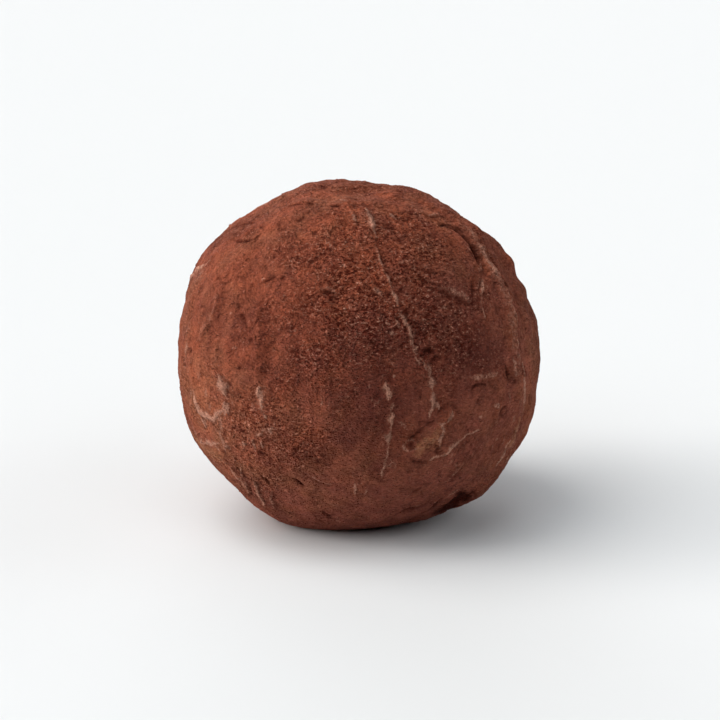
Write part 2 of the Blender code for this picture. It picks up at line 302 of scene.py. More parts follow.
SPOTS = {
    "knob": Spot((27, -5), 0.4, 0.15, 0.1),
    "patch_dimple": Spot((15.8, -13.4), 0.2, -0.14, shade=0.8),
    "fold_speck": Spot((46.2, -5), 0.2, 0.05, 0.6),
    "fold_speck_left": Spot((40, -7.6), 0.2, 0.05, 0.45),
    "fold_speck_low": Spot((51.5, -18.4), 0.18, 0.05, 0.45),
    "fold_speck_right": Spot((57.1, -12.9), 0.18, 0.05, 0.5),
    "arc_patch": Spot((-27.4, -9.2), 0.3, 0.06, 0.65),
    "low_speck": Spot((-57.5, -20.9), 0.2, 0.06, 0.6),
    "crease_blob": Spot((17.3, 16.2), 0.2, 0.09, 0.8),
    "crease_hole": Spot((21.5, 15.2), 0.26, -0.2, shade=0.9),
    "crease_hole_low": Spot((23, 13), 0.26, -0.18, shade=0.9),
    "crack_speck": Spot((-37.6, 35.2), 0.07, 0.03, 0.45),
    "middle_speck": Spot((10.2, 8.8), 0.12, 0.06, 0.8),
    "middle_speck_high": Spot((10.2, 21.3), 0.14, 0.06, 0.6),
    "middle_speck_left": Spot((9.7, 17.3), 0.12, 0.05, 0.5),
    "left_speck": Spot((-46.8, 23.2), 0.09, 0.03, 0.3),
    "swirl_speck": Spot((5.2, 34.8), 0.2, 0.07, 0.45),
    "swirl_speck_high": Spot((4.7, 37.1), 0.18, 0.06, 0.35),
    "low_left_bloom": Spot((-47.9, -17.8), 0.45, 0.03, 0.3),
}

# Small pits: (bearing, rise, half width, how dark the painted shade in it is).
PITS = (
    (-31.8, -17.6, 0.20, 0.9), (-50.3, -22.2, 0.22, 0.6), (-38, 8, 0.20, 0.8), (-37.9, -24.8, 0.17, 0.9),
    (-41.6, -17.6, 0.14, 0.6), (-29.7, 36.9, 0.15, 0.8), (-42, 23.4, 0.24, 0.8), (-35.2, 16.8, 0.20, 0.7),
    (-39.9, 21.5, 0.14, 0.6), (-36.5, 62.7, 0.15, 0.8), (-23.5, 54.7, 0.17, 0.8), (-9.6, 56.2, 0.16, 0.8),
    (-38.3, 58.4, 0.16, 0.7), (-4.7, 68.9, 0.16, 0.7), (-4.3, 75.6, 0.18, 0.7), (-41.7, 2.5, 0.14, 0.8),
    (-42.6, -0.2, 0.14, 0.8), (-15, -17, 0.24, 0.7), (-13, -18.6, 0.16, 0.8), (-62, 8, 0.17, 0.6),
    (-66, 3, 0.17, 0.6), (-56, 5, 0.15, 0.6), (33, -9, 0.15, 0.6), (37, -16, 0.14, 0.5),
    (8, 69, 0.16, 0.6), (30, 60, 0.17, 0.6), (38, 52, 0.17, 0.7), (46, 47, 0.17, 0.7),
    (-60, 52, 0.17, 0.7), (-48, 55, 0.15, 0.7), (5, -21, 0.14, 0.5), (-28, 24, 0.15, 0.6),
)
PIT_DEPTH = 0.5                       # as a share of a pit's half width


class Area(NamedTuple):
    """A soft round area: where its middle is, its half width in degrees, and how strong."""

    bearing: float
    rise: float
    spread: float
    amount: float


def areas(*rows):
    """Areas from rows of (bearing, rise, spread, amount)."""
    return tuple(Area(*row) for row in rows)


# Where the truffle bulges (above zero) or is flatter, by so many millimetres.
BULGES = areas(
    (60, -47, 10, 0.42), (78, -26, 7, 0.32), (-88, 12, 8, -0.22), (-86, -12, 8, -0.26),
    (-82, 58, 10, -0.46), (-30, 82, 10, -0.4), (20, 83, 9, -0.32), (62, 67, 7, -0.3), (74, 49, 3, 0.2),
    (83, 41, 4, 0.1), (80, 34, 3, 0.28), (77, 29, 2, -0.26), (77, 24.5, 2.6, 0.24),
)

# Where the cocoa lies in open grains (above zero) or is pressed smooth (below zero).
GRAINY_AREAS = areas(
    (4, 34, 25, 0.7), (28, 20, 14, 0.35), (-10, 17, 10, 0.25), (-33, -12, 12, 0.55),
    (-18, -8, 9, 0.25), (-38, -30, 10, 0.3), (12, 60, 14, 0.25), (-60, 22, 20, -0.6),
    (-35, 15, 9, -0.3), (-46, 42, 10, -0.3), (2, 4, 10, -0.4), (14, 2, 8, -0.3), (62, 12, 12, -0.55),
    (42, -10, 14, -0.45), (26, -28, 20, -0.6), (-6, -44, 22, -0.7), (-30, 68, 14, -0.3),
)

# Where the cocoa is rubbed pale in small blotches.
WORN_AREAS = areas(
    (-56, -10, 13, 0.6), (-30, -6, 7, 0.35), (-46, -20, 8, 0.35), (-66, -24, 9, 0.45),
    (9, -8, 7, 0.25), (9, -22, 5, 0.35), (23, -12, 8, 0.25), (54, -8, 9, 0.4), (66, -28, 10, 0.45),
    (44, 4, 5, 0.25), (-78, 32, 8, 0.4), (6, 62, 9, 0.25), (62, 56, 10, 0.35), (-46, -38, 9, 0.25),
    (140, 20, 20, 0.45), (-150, -20, 22, 0.45), (170, 55, 16, 0.35), (120, -30, 14, 0.4),
)

# Where the cocoa is a deeper brown (above zero) or paler (below zero), by area. Some of it is painted
# light: the strip beyond the right fold, at (80, 44) and (74, 28), is painted shadow, and the right edge,
# at (64, 2), is painted paler, as painted light.
DEEP_AREAS = areas(
    (24, 20, 13, 0.45), (36, 11, 9, 0.3), (5, 20, 9, 0.4), (4, -2, 13, 0.32), (-6, -13, 7, 0.15),
    (-39, 16, 9, 0.28), (-33, 36, 9, 0.25), (34, -42, 8, 0.35), (44, -14, 9, -0.05),
    (-40, -44, 8, 0.25), (-54, -10, 13, -0.8), (-33, -12, 8, -0.12), (25, -10, 8, -0.15),
    (13, 47, 7, 0.25), (-16, -2, 7, -0.4), (-18, -33, 10, -0.25), (5, 39, 8, -0.4), (6, 58, 9, -0.4),
    (-25, 78, 12, -0.35), (-12, 6, 12, 0.3), (-60, -2, 16, -0.3), (-3, 17, 9, 0.48), (-5, 31, 7, -0.5),
    (-17, 5, 8, 0.28), (-18, 17, 8, 0.22), (39, 14, 8, 0.6), (10, 4, 12, 0.32), (-2, -11, 8, 0.28),
    (76, -20, 11, -0.3), (58, 48, 9, -0.25), (10, 67, 18, -0.28), (64, 2, 12, -0.9),
    (10, -34, 22, -0.15), (-80, 36, 10, 0.2), (53, 60, 10, -0.75), (32, 44, 8, -0.3),
    (-40, -30, 9, -0.55), (60, 32, 6, -0.3), (80, 44, 8, 0.4), (74, 28, 6, 0.35),
)

# Where the cocoa is a drabber brown (above zero) or a redder one (below zero).
DRAB_AREAS = areas(
    (-50, -20, 22, 0.45), (32, -24, 23, 0.75), (12, 43, 10, -0.45), (39, 13, 9, -0.4),
    (-4, -3, 11, 0.4), (76, 8, 16, 0.6), (-12, -36, 22, 0.35), (-16, 26, 24, -0.5),
    (160, -20, 40, 0.3),
)

# Where the cocoa leans to plum (above zero) or away from it (below zero).
PLUM_AREAS = areas(
    (-50, 45, 34, -0.45), (-60, -2, 14, -0.2), (-12, 6, 10, 0.15), (46, 12, 32, 0.48),
    (34, -24, 24, 0.42), (0, -56, 26, 0.95), (4, 6, 16, 0.12), (-4, -12, 10, 0.32),
    (-170, 30, 45, 0.45),
)


# ---------------------------------------------------------------------------
# The lights.


class Lamp(NamedTuple):
    """A far soft lamp, as wide as a large softbox. Its angles are in degrees."""

    azimuth: float     # from the right (+X) round by the back (+Y)
    elevation: float
    spread: float      # how wide it is seen from the truffle
    strength: float
    colour: tuple


WARM, PALE, COOL = (1.0, 0.985, 0.97), (1.0, 0.99, 0.975), (0.91, 0.96, 1.0)
LAMPS = {
    "key_left": Lamp(180, 10, 34, 3.0, WARM),
    "left_high": Lamp(180, 57, 50, 1.88, PALE),
    "front_left": Lamp(225, 38, 34, 0.58, COOL),
    "front_right": Lamp(315, 40, 34, 0.32, COOL),
    "front_high": Lamp(270, 78, 34, 0.52, COOL),
    "right": Lamp(0, 30, 34, 0.46, COOL),
    "right_back": Lamp(30, 10, 34, 0.55, COOL),
    "back": Lamp(100, 10, 50, 1.7, COOL),
    "back_high": Lamp(105, 38, 50, 0.50, COOL),
}


# ---------------------------------------------------------------------------
# Settings.


class SkinSettings(PropertyGroup):
    """The skin of the truffle."""

    rows: IntProperty(
        name="Rows", description="Rows of faces along each side of the ball's net",
        default=108, min=8, max=128,
    )
    crowding: FloatProperty(
        name="Crowding", description="How much finer the faces are at the front than at the sides",
        default=1.15, min=1.0, max=2.0, subtype="FACTOR",
    )
    relief: FloatProperty(
        name="Relief", description="How strongly folds, scrapes and cracks stand out",
        default=1.0, min=0.0, max=2.0, subtype="FACTOR",
    )
    roughening: FloatProperty(
        name="Roughening", description="Height of the clotted cocoa between the grains",
        default=0.050 * MM, unit="LENGTH", subtype="DISTANCE", precision=6,
    )
    cocoa: FloatVectorProperty(
        name="Cocoa", description="Colour of dry cocoa", subtype="COLOR",
        default=(0.455, 0.115, 0.0550), min=0.0, max=1.0,
    )
    drab: FloatVectorProperty(
        name="Drab cocoa", description="Colour of the less red patches of dry cocoa",
        subtype="COLOR", default=(0.415, 0.146, 0.074), min=0.0, max=1.0,
    )
    plum: FloatVectorProperty(
        name="Plum cocoa", description="Colour of the cocoa that leans to plum",
        subtype="COLOR", default=(0.440, 0.128, 0.082), min=0.0, max=1.0,
    )
    # The darkest brown of the mottled tone and of the deep areas; where those stand in for shadow, it is
    # painted shade.
    deep: FloatVectorProperty(
        name="Deep cocoa", description="Colour of cocoa in cracks and where it is moist",
        subtype="COLOR", default=(0.165, 0.042, 0.029), min=0.0, max=1.0,
    )
    # The colour of painted shade: laid between the crumbs, in the pits, in the short nicks and in the
    # cracks.
    painted_shade_colour: FloatVectorProperty(
        name="Hollows", description="Colour of the cocoa down between the grains and in cracks",
        subtype="COLOR", default=(0.120, 0.014, 0.006), min=0.0, max=1.0,
    )
    rubbed: FloatVectorProperty(
        name="Rubbed cocoa", description="Colour of ridges and scrapes that are rubbed pale",
        subtype="COLOR", default=(0.66, 0.315, 0.215), min=0.0, max=1.0,
    )
    ochre: FloatVectorProperty(
        name="Smeared film", description="Colour of the film where the cocoa is smeared",
        subtype="COLOR", default=(0.51, 0.200, 0.098), min=0.0, max=1.0,
    )


class GrainSettings(PropertyGroup):
    """The loose cocoa on the skin."""

    grain_width: FloatProperty(
        name="Grain width", description="Width of a fine grain of cocoa",
        default=0.17 * MM, unit="LENGTH", subtype="DISTANCE", precision=6,
    )
    grain_gap: FloatProperty(
        name="Grain spacing", description="Least distance between the middles of fine grains",
        default=0.13 * MM, unit="LENGTH", subtype="DISTANCE", precision=6,
    )
    clump_width: FloatProperty(
        name="Clump width", description="Width of a clump of cocoa",
        default=0.27 * MM, unit="LENGTH", subtype="DISTANCE", precision=6,
    )
    clump_gap: FloatProperty(
        name="Clump spacing", description="Least distance between the middles of clumps",
        default=0.24 * MM, unit="LENGTH", subtype="DISTANCE", precision=6,
    )
    seed: IntProperty(name="Seed", description="Chooses where the grains fall", default=7)


class StudioSettings(PropertyGroup):
    """The floor, the lights and the camera."""

    floor: FloatVectorProperty(
        name="Floor", description="Colour of the floor", subtype="COLOR",
        default=(0.744, 0.744, 0.739), min=0.0, max=1.0,
    )
    elevation: FloatProperty(
        name="Camera elevation", description="How far above the level the camera stands",
        default=math.radians(16.0), subtype="ANGLE",
    )
    distance: FloatProperty(
        name="Camera distance", description="From the camera to the truffle's middle",
        default=0.1667, unit="LENGTH", subtype="DISTANCE",
    )
    lens: FloatProperty(
        name="Lens", description="Focal length of the camera in millimetres",
        default=100.0, unit="CAMERA",
    )


# ---------------------------------------------------------------------------
# Places and lines on the ball.

PATH_STEPS = 5                        # pieces of a path between two of its places
LINE_EDGE = 0.12                      # how near to zero the noise makes a thin line


def direction(bearing, rise):
    """Unit vector from the ball's centre towards a place on it."""
    bearing, rise = math.radians(bearing), math.radians(rise)
    level = math.cos(rise)
    return np.array((math.sin(bearing) * level, -math.cos(bearing) * level, math.sin(rise)))


def smooth_path(places):
    """Points along a Catmull-Rom curve through the places, on the unit ball."""
    knots = [direction(*place) for place in places]
    knots = [2 * knots[0] - knots[1]] + knots + [2 * knots[-1] - knots[-2]]
    points = []
    for before, start, end, after in zip(knots, knots[1:], knots[2:], knots[3:]):
        for t in np.arange(PATH_STEPS) / PATH_STEPS:
            points.append(0.5 * (2 * start + (end - before) * t
                                 + (2 * before - 5 * start + 4 * end - after) * t ** 2
                                 + (3 * start - before - 3 * end + after) * t ** 3))
    points.append(knots[-2])
    points = np.array(points)
    return points / np.linalg.norm(points, axis=1)[:, None]


def across_path(dirs, path):
    """Each direction's gap to a path, how far it lies to one side, and where along it that is.

    The side that counts above zero is the right-hand or the lower one.
    """
    nearest = np.full(len(dirs), np.inf)
    aside = np.zeros(len(dirs))
    along = np.zeros(len(dirs))
    middle = path[len(path) // 2]
    left = np.cross(middle, (0.0, 0.0, 1.0))
    down = np.cross(middle, left)
    turned = np.cross(path[-1] - path[0], middle) @ (down - left)
    for index, (start, end) in enumerate(zip(path, path[1:])):
        run = end - start
        share = np.clip((dirs - start) @ run / (run @ run), 0.0, 1.0)
        offset = dirs - (start + share[:, None] * run)
        distance = np.linalg.norm(offset, axis=1)
        side = np.cross(run, start)
        closer = distance < nearest
        nearest[closer] = distance[closer]
        aside[closer] = (offset @ (side / np.linalg.norm(side)))[closer]
        along[closer] = (index + share[closer]) / (len(path) - 1)
    return nearest, aside * (1.0 if turned > 0 else -1.0), along


def soft_area(dirs, area):
    """How strongly an area is felt at each direction."""
    cosine = np.clip(dirs @ direction(area.bearing, area.rise), -1.0, 1.0)
    return area.amount * np.exp(-(np.degrees(np.arccos(cosine)) / area.spread) ** 2)


def felt(dirs, areas_felt):
    """How strongly several areas are felt together at each direction."""
    return sum(soft_area(dirs, area) for area in areas_felt)


def field(dirs, size, shift=0.0, stretch=(1.0, 1.0, 1.0)):
    """Smooth noise over the ball, from -1 to 1, with lumps of a given size in millimetres."""
    scaled = dirs * REACH / (np.array(stretch) * (size * MM)) + shift
    return np.array([noise.noise(point) for point in map(Vector, scaled)])


def thin_lines(dirs, size, shift, stretch):
    """Fine winding lines, 1 along each line and 0 away from it."""
    line = 1.0 - np.abs(field(dirs, size, shift, stretch)) / LINE_EDGE
    return np.clip(line, 0.0, 1.0) ** 1.5


def smooth_step(low, high, value):
    """0 below low, 1 above high, and a smooth rise between them."""
    share = np.clip((value - low) / (high - low), 0.0, 1.0)
    return share * share * (3.0 - 2.0 * share)


# ---------------------------------------------------------------------------
# The skin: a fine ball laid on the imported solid, then given its relief.

SCATTERED_MARKS = 80
CROWN_RISE = 0.72                     # height on the unit ball where the crown begins
EVENING = 12                          # rounds that take the solid's facets away
# Of the scattered marks, so many are scrapes and so many scrapes or ridges. The rest are cracks.
SCRAPES = 0.45
SCRAPES_OR_RIDGES = 0.72
# How a mark lies, in shares of its half width: how far it strays from its path, how
# narrow it ends, and where its groove runs.
STRAY = 0.45
END_WIDTH = 0.35
GROOVE_ASIDE = 1.55
# How wide its groove, and the rubbed cocoa round it, are in squared shares of the line.
GROOVE_WIDTH = 0.7
HALO_WIDTH = 5.0
HALO_RUBBED = 0.42
# Lines no wider than this break up the most, by this share of their strength.
BREAKS_UP = 0.25
BREAK_SHARE = 0.7
# A line this high or deep is bare of loose cocoa.
BARE_HEIGHT = 0.07
# The faces are fine this far out from a mark or a spot, in millimetres.
FINE_RIM = 0.16
SPOT_RIM = 0.15
# Between these heights above the floor the relief, and the loose cocoa, come in.
RELIEF_STARTS = (0.05 * MM, 1.2 * MM)
COVER_STARTS = (0.3 * MM, 0.9 * MM)


def ball_net(rows, crowding):
    """Unit directions and quads of a cube blown round, with a flat net of its six sides.

    Crowding above 1 draws the points together towards the front, where the marks are finest.
    """
    steps = np.linspace(-1.0, 1.0, rows + 1)
    across, up = np.meshgrid(steps, steps, indexing="ij")
    corner = np.arange((rows + 1) ** 2).reshape(rows + 1, rows + 1)
    quads = np.stack((corner[:-1, :-1], corner[1:, :-1], corner[1:, 1:], corner[:-1, 1:]), -1)
    square = np.stack((across, up), -1).reshape(-1, 2)
    bent = np.tan(np.pi / 4 * square)
    points, faces, net = [], [], []
    for side, (x_axis, y_axis, z_axis) in enumerate(SIDES):
        points.append(bent[:, :1] * np.array(x_axis) + bent[:, 1:] * np.array(y_axis) + np.array(z_axis))
        faces.append(quads.reshape(-1, 4) + side * len(square))
        place = np.array((side % 3, side // 3))
        net.append((place + 0.5 + (0.5 - NET_MARGIN) * square) / (3, 2))
    points, faces = np.concatenate(points), np.concatenate(faces)
    net = np.concatenate(net)[faces.ravel()]
    points /= np.linalg.norm(points, axis=1)[:, None]
    _, first, merged = np.unique(
        np.round(points * 1e5).astype(int), axis=0, return_index=True, return_inverse=True)
    points, faces = points[first], merged.ravel()[faces]
    # This pull keeps every angle, so the faces stay near square.
    near, far = crowding ** 2 * (1.0 - points[:, 1]), 1.0 + points[:, 1]
    points[:, [0, 2]] *= (2.0 * crowding / (near + far))[:, None]
    points[:, 1] = (far - near) / (near + far)
    return points, faces, net


def packed_surface():
    """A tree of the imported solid's faces, to lay the skin on."""
    mesh = bpy.data.objects[NODE].data
    points = [vert.co.copy() for vert in mesh.vertices]
    return BVHTree.FromPolygons(points, [tuple(face.vertices) for face in mesh.polygons])


def laid_on(surface, dirs):
    """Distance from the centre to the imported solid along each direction."""
    hits = [surface.ray_cast(CENTRE, way)[3] for way in map(Vector, dirs)]
    return np.array(hits)


def evened(values, quads, rounds):
    """Values averaged with their neighbours on the net, which takes the flat facets away."""
    start = quads.ravel()
    end = np.roll(quads, -1, axis=1).ravel()
    count = np.bincount(start, minlength=len(values)) + np.bincount(end, minlength=len(values))
    for _ in range(rounds):
        around_each = (np.bincount(start, values[end], len(values))
                       + np.bincount(end, values[start], len(values)))
        values = 0.5 * values + 0.5 * around_each / count
    return values


def quarter_faces(mesh, fine):
    """Splits the faces in two each way where both ends of their edges are fine points."""
    work = bmesh.new()
    work.from_mesh(mesh)
    edges = [edge for edge in work.edges if all(fine[vert.index] for vert in edge.verts)]
    bmesh.ops.subdivide_edges(work, edges=edges, cuts=1, use_grid_fill=True, use_single_edge=True)
    work.to_mesh(mesh)
    work.free()


def scattered_marks():
    """Further scrapes, ridges and cracks round the sides and the back, where none is placed."""
    rng = np.random.default_rng(23)
    marks = []
    for _ in range(SCATTERED_MARKS):
        bearing = rng.uniform(98, 262)
        rise = math.degrees(math.asin(rng.uniform(-0.75, 0.93)))
        lean = rng.normal(0.0, 0.5)
        length = rng.uniform(2.5, 11.0)
        bow = rng.normal(0.0, 1.2)
        places = tuple(
            (bearing + (length * t * math.sin(lean) + bow * (1 - t * t)) / math.cos(math.radians(rise)),
             rise + length * t * math.cos(lean))
            for t in (-1.0, -0.3, 0.4, 1.0))
        kind = rng.uniform()
        width = rng.uniform(0.11, 0.20)
        if kind < SCRAPES:
            marks.append(ridge(width, 0.05, 0.04, rng.uniform(0.25, 0.75), *places, ochre=0.1))
        elif kind < SCRAPES_OR_RIDGES:
            marks.append(ridge(2.4 * width, rng.uniform(0.05, 0.12), 0.05, 0.18, *places, ochre=0.1))
        else:
            marks.append(crack(width, rng.uniform(0.10, 0.20), 0.75, *places))
    return marks


def near_path(dirs, path, width):
    """Which of the directions lie within four widths of a path's ends and bends."""
    middle = path.mean(axis=0)
    reach = np.linalg.norm(path - middle, axis=1).max() + 4 * width
    return np.flatnonzero(np.linalg.norm(dirs - middle, axis=1) < reach)


def lay_mark(layers, dirs, wobble, breaks, mark):
    """Adds a line to the relief and to the layers of colour."""
    path = smooth_path(mark.places)
    width = mark.half_width * MM / REACH
    near = near_path(dirs, path, width)
    nearest, aside, along = across_path(dirs[near], path)
    ends = nearest ** 2 - aside ** 2      # nothing beside the line, and more past its ends
    aside = aside + STRAY * width * wobble[near]
    taper = END_WIDTH + (1.0 - END_WIDTH) * np.sin(np.pi * np.clip(along, 0.02, 0.98)) ** 0.6
    thinness = min(1.0, BREAKS_UP / mark.half_width) ** 2
    strength = taper * (1.0 + BREAK_SHARE * thinness * breaks[near])
    core = (taper * width) ** 2
    profile = np.exp(-(aside ** 2 + ends) / core)
    beside = np.exp(-((aside - GROOVE_ASIDE * taper * width) ** 2 + ends) / (GROOVE_WIDTH * core))
    layers["relief"][near] += MM * strength * (mark.height * profile - mark.lip * beside)
    halo = np.exp(-(aside ** 2 + ends) / (HALO_WIDTH * core))
    shares = {
        "rubbed": min(1.0, 1.15 * mark.rubbed) * np.maximum(profile, HALO_RUBBED * halo),
        "ochre": mark.ochre * profile,
        # Painted shade in the line, and painted shadow along a lip's groove.
        "shade": np.maximum(mark.shade * profile, 5.0 * mark.lip * beside),
        "bare": np.minimum(1.0, 1.6 * profile) * min(1.0, abs(mark.height) / BARE_HEIGHT),
    }
    for name, share in shares.items():
        layers[name][near] = np.maximum(layers[name][near], strength * share)


def lay_spot(layers, dirs, wobble, spot):
    """Adds a round bump or pit."""
    width = spot.half_width * MM / REACH
    gap = np.linalg.norm(dirs - direction(*spot.place), axis=1)
    near = np.flatnonzero(gap < 4 * width)
    profile = np.exp(-(gap[near] * (1.0 + 0.6 * wobble[near]) / width) ** 2)
    layers["relief"][near] += spot.height * MM * profile
    for name, share in (("rubbed", spot.rubbed), ("shade", spot.shade), ("bare", 1.0)):
        layers[name][near] = np.maximum(layers[name][near], share * profile)


def every_spot():
    """The named spots and the small pits."""
    shaded_pits = [
        Spot((bearing, rise), half_width, -PIT_DEPTH * half_width, shade=shade)
        for bearing, rise, half_width, shade in PITS]
    return [*SPOTS.values(), *shaded_pits]


def near_marks(dirs):
    """Which directions lie on a mark, or right beside one."""
    fine = np.zeros(len(dirs), dtype=bool)
    for mark in MARKS.values():
        path = smooth_path(mark.places)
        width = mark.half_width * MM / REACH
        near = near_path(dirs, path, width)
        fine[near[across_path(dirs[near], path)[0] < 1.5 * width + FINE_RIM * MM / REACH]] = True
    for spot in every_spot():
        gap = np.linalg.norm(dirs - direction(*spot.place), axis=1)
        fine |= gap < (1.2 * spot.half_width + SPOT_RIM) * MM / REACH
    return fine


def lay_marks(layers, dirs):
    """Adds every line, bump and pit."""
    wobble = 2.0 * field(dirs, 0.6)
    breaks = 1.6 * field(dirs, 0.9, 13.0)
    for mark in (*MARKS.values(), *scattered_marks()):
        lay_mark(layers, dirs, wobble, breaks, mark)
    for spot in every_spot():
        lay_spot(layers, dirs, wobble, spot)


def lay_patches(layers, dirs):
    """Adds the patches of open and pressed cocoa, of each brown, and of worn blotches."""
    broad = field(dirs, 3.2, 9.0)
    grainy = 0.30 + 0.45 * broad + 0.50 * field(dirs, 1.3, 10.0) + felt(dirs, GRAINY_AREAS)
    open_cocoa = smooth_step(0.0, 1.0, grainy)
    layers["grainy"] = open_cocoa * (1.0 - 0.8 * np.clip(layers["bare"], 0, 1))
    layers["deep"] = np.clip(felt(dirs, DEEP_AREAS) + 0.25 * broad, -1, 1)
    layers["drab"] = felt(dirs, DRAB_AREAS)
    layers["plum"] = felt(dirs, PLUM_AREAS)
    worn = np.clip(felt(dirs, WORN_AREAS), 0.0, 1.0)
    worn *= smooth_step(0.05, 0.50, field(dirs, 0.75, 11.0, (1.0, 1.0, 1.7)))
    layers["rubbed"] = np.maximum(layers["rubbed"], 0.8 * worn)
    layers["relief"] += 0.03 * MM * worn
    return open_cocoa


def lay_clots(layers, dirs, rough, open_cocoa):
    """Adds lumps from broad to fine. The clots are highest where the cocoa lies open."""
    clots = field(dirs, 0.48, 4.0)
    rng = np.random.default_rng(5)
    layers["relief"] += rough * (
        2.4 * field(dirs, 5.0, 3.0)
        + 3.4 * field(dirs, 1.8, 5.0, (1.0, 1.0, 1.6))
        + (1.8 - 0.3 * open_cocoa) * field(dirs, 0.85, 6.0, (1.0, 1.0, 1.3))
        + (0.30 + 0.95 * open_cocoa) * clots - 0.9 * open_cocoa * smooth_step(0.15, 0.6, clots)
        + (0.12 + 0.30 * open_cocoa) * rng.normal(size=len(dirs))
        + 0.9 * np.clip(layers["bare"], 0, 1) * field(dirs, 0.3, 17.0))
    # Where the clots are pitted; the shader paints shade there.
    layers["pitted_shade"] = smooth_step(0.1, 0.55, clots) * (0.15 + 0.85 * open_cocoa)


def lay_fine_lines(layers, dirs, rough, open_cocoa):
    """Adds thin raised lines and short sunk ones, with painted shade in the sunk ones: upright on the
    sides, level on the crown.
    """
    smooth = 1.0 - open_cocoa
    crown = dirs[:, 2] > CROWN_RISE
    where = smooth_step(0.05, 0.30, field(dirs, 1.4, 21.0))
    down = thin_lines(dirs, 1.1, 2.0, (1.0, 1.0, 2.6))
    level = thin_lines(dirs, 1.1, 1.0, (2.4, 1.4, 1.0))
    raised = np.where(crown, level, down) * where * (0.35 + 0.65 * smooth)
    where = smooth_step(0.08, 0.30, field(dirs, 1.0, 31.0))
    down = thin_lines(dirs, 0.9, 7.0, (1.0, 1.0, 1.8))
    level = thin_lines(dirs, 0.9, 8.0, (2.0, 1.4, 1.0))
    sunk = np.where(crown, level, down) * where * (0.45 + 0.55 * smooth)
    layers["relief"] += rough * (0.9 * raised - 1.3 * sunk)
    layers["rubbed"] = np.maximum(layers["rubbed"], 0.28 * raised)
    # Painted shade in the sunk lines.
    layers["shade"] = np.maximum(layers["shade"], 0.45 * sunk)


def skin_layers(dirs, settings):
    """The relief and the layers of colour at each direction, from the marks and from noise."""
    layers = {name: np.zeros(len(dirs)) for name in ("relief", "rubbed", "ochre", "shade", "bare")}
    lay_marks(layers, dirs)
    layers["relief"] *= settings.relief
    layers["relief"] += MM * felt(dirs, BULGES)
    open_cocoa = lay_patches(layers, dirs)
    lay_clots(layers, dirs, settings.roughening, open_cocoa)
    lay_fine_lines(layers, dirs, settings.roughening, open_cocoa)
    return layers


def skin_mesh(settings):
    """The finished skin, closed, with its layers as attributes and its net as a map."""
    dirs, quads, net = ball_net(settings.rows, settings.crowding)
    reach = evened(laid_on(packed_surface(), dirs), quads, EVENING)
    mesh = bpy.data.meshes.new("truffle_skin")
    mesh.from_pydata((dirs * reach[:, None]).tolist(), [], quads.tolist())
    mesh.uv_layers.new(name=BAKE_MAP).uv.foreach_set("vector", net.astype(np.float32).ravel())
    quarter_faces(mesh, near_marks(dirs))
    points = read_places(mesh)
    reach = np.linalg.norm(points, axis=1)
    dirs = points / reach[:, None]
    layers = skin_layers(dirs, settings)
    centre = np.array(CENTRE)
    off_floor = smooth_step(*RELIEF_STARTS, centre[2] + points[:, 2] - LOW.z)
    points = centre + dirs * (reach + layers["relief"] * off_floor)[:, None]
    points[:, 2] = np.maximum(points[:, 2], LOW.z)
    mesh.vertices.foreach_set("co", points.astype(np.float32).ravel())
    layers["grainy"] *= off_floor
    cover = (0.06 + 0.94 * layers["grainy"]) * smooth_step(-0.45, 0.25, field(dirs, 0.7, 8.0))
    cover *= 1.0 - 0.9 * np.clip(layers["bare"], 0, 1)
    layers["cover"] = cover * smooth_step(*COVER_STARTS, points[:, 2] - LOW.z)
    for name in ("rubbed", "ochre", "shade", "grainy", "deep", "drab", "plum", "pitted_shade", "cover"):
        attribute = mesh.attributes.new(name, "FLOAT", "POINT")
        attribute.data.foreach_set("value", layers[name].astype(np.float32))
    mesh.shade_smooth()
    mesh.update()
    return mesh


def read_places(mesh):
    """The places of a mesh's points, a row for each."""
    places = np.zeros(3 * len(mesh.vertices), dtype=np.float32)
    mesh.vertices.foreach_get("co", places)
    return places.reshape(-1, 3).astype(float)


# ---------------------------------------------------------------------------
# Materials. A Value is a shader socket that can be added, multiplied and so on.

# Cocoa is a dry powder: matt, with next to no gloss and a trace of bloom at its rim.
COCOA_FINISH = {
    "Roughness": 0.95,
    "Specular IOR Level": 0.04,
    "Sheen Weight": 0.02,
    "Sheen Roughness": 0.45,
    "Sheen Tint": (0.95, 0.70, 0.60, 1.0),
}
# The painted shade of the pits and the dust make the skin darker; this brightness makes up for it.
SKIN_BRIGHTNESS = 1.31                # makes up for what the pits and the dust take away
# Where a Mix node set to colours has its two inputs and its result.
MIX_COLOURS = (6, 7)
MIX_RESULT = 2


class Value:
    """A number socket in a shader, on which arithmetic adds Math nodes."""

    def __init__(self, paint, socket):
        self.paint, self.socket = paint, socket

    def maths(self, operation, *others):
        """A Math node that takes this value first."""
        return Value(self.paint, self.paint.add(
            "ShaderNodeMath", {"operation": operation}, dict(enumerate((self, *others)))))

    def __add__(self, other):
        return self.maths("ADD", other)

    def __mul__(self, other):
        return self.maths("MULTIPLY", other)

    def __sub__(self, other):
        return self.maths("SUBTRACT", other)

    def __rsub__(self, other):
        return Value(self.paint, self.paint.add(
            "ShaderNodeMath", {"operation": "SUBTRACT"}, {0: other, 1: self}))

    __radd__ = __add__
    __rmul__ = __mul__

    def stretched(self, times):
        """The value spread about one half, to give a noise more contrast."""
        return ((self - 0.5) * times + 0.5).held()

    def held(self):
        """The value kept between 0 and 1."""
        return Value(self.paint, self.paint.add(
            "ShaderNodeClamp", {}, {"Value": self, "Min": 0.0, "Max": 1.0}))

    def between(self, low, high):
        """0 below low, 1 above high, and a smooth rise between them."""
        return Value(self.paint, self.paint.add(
            "ShaderNodeMapRange", {"interpolation_type": "SMOOTHSTEP"},
            {"Value": self, "From Min": low, "From Max": high}))


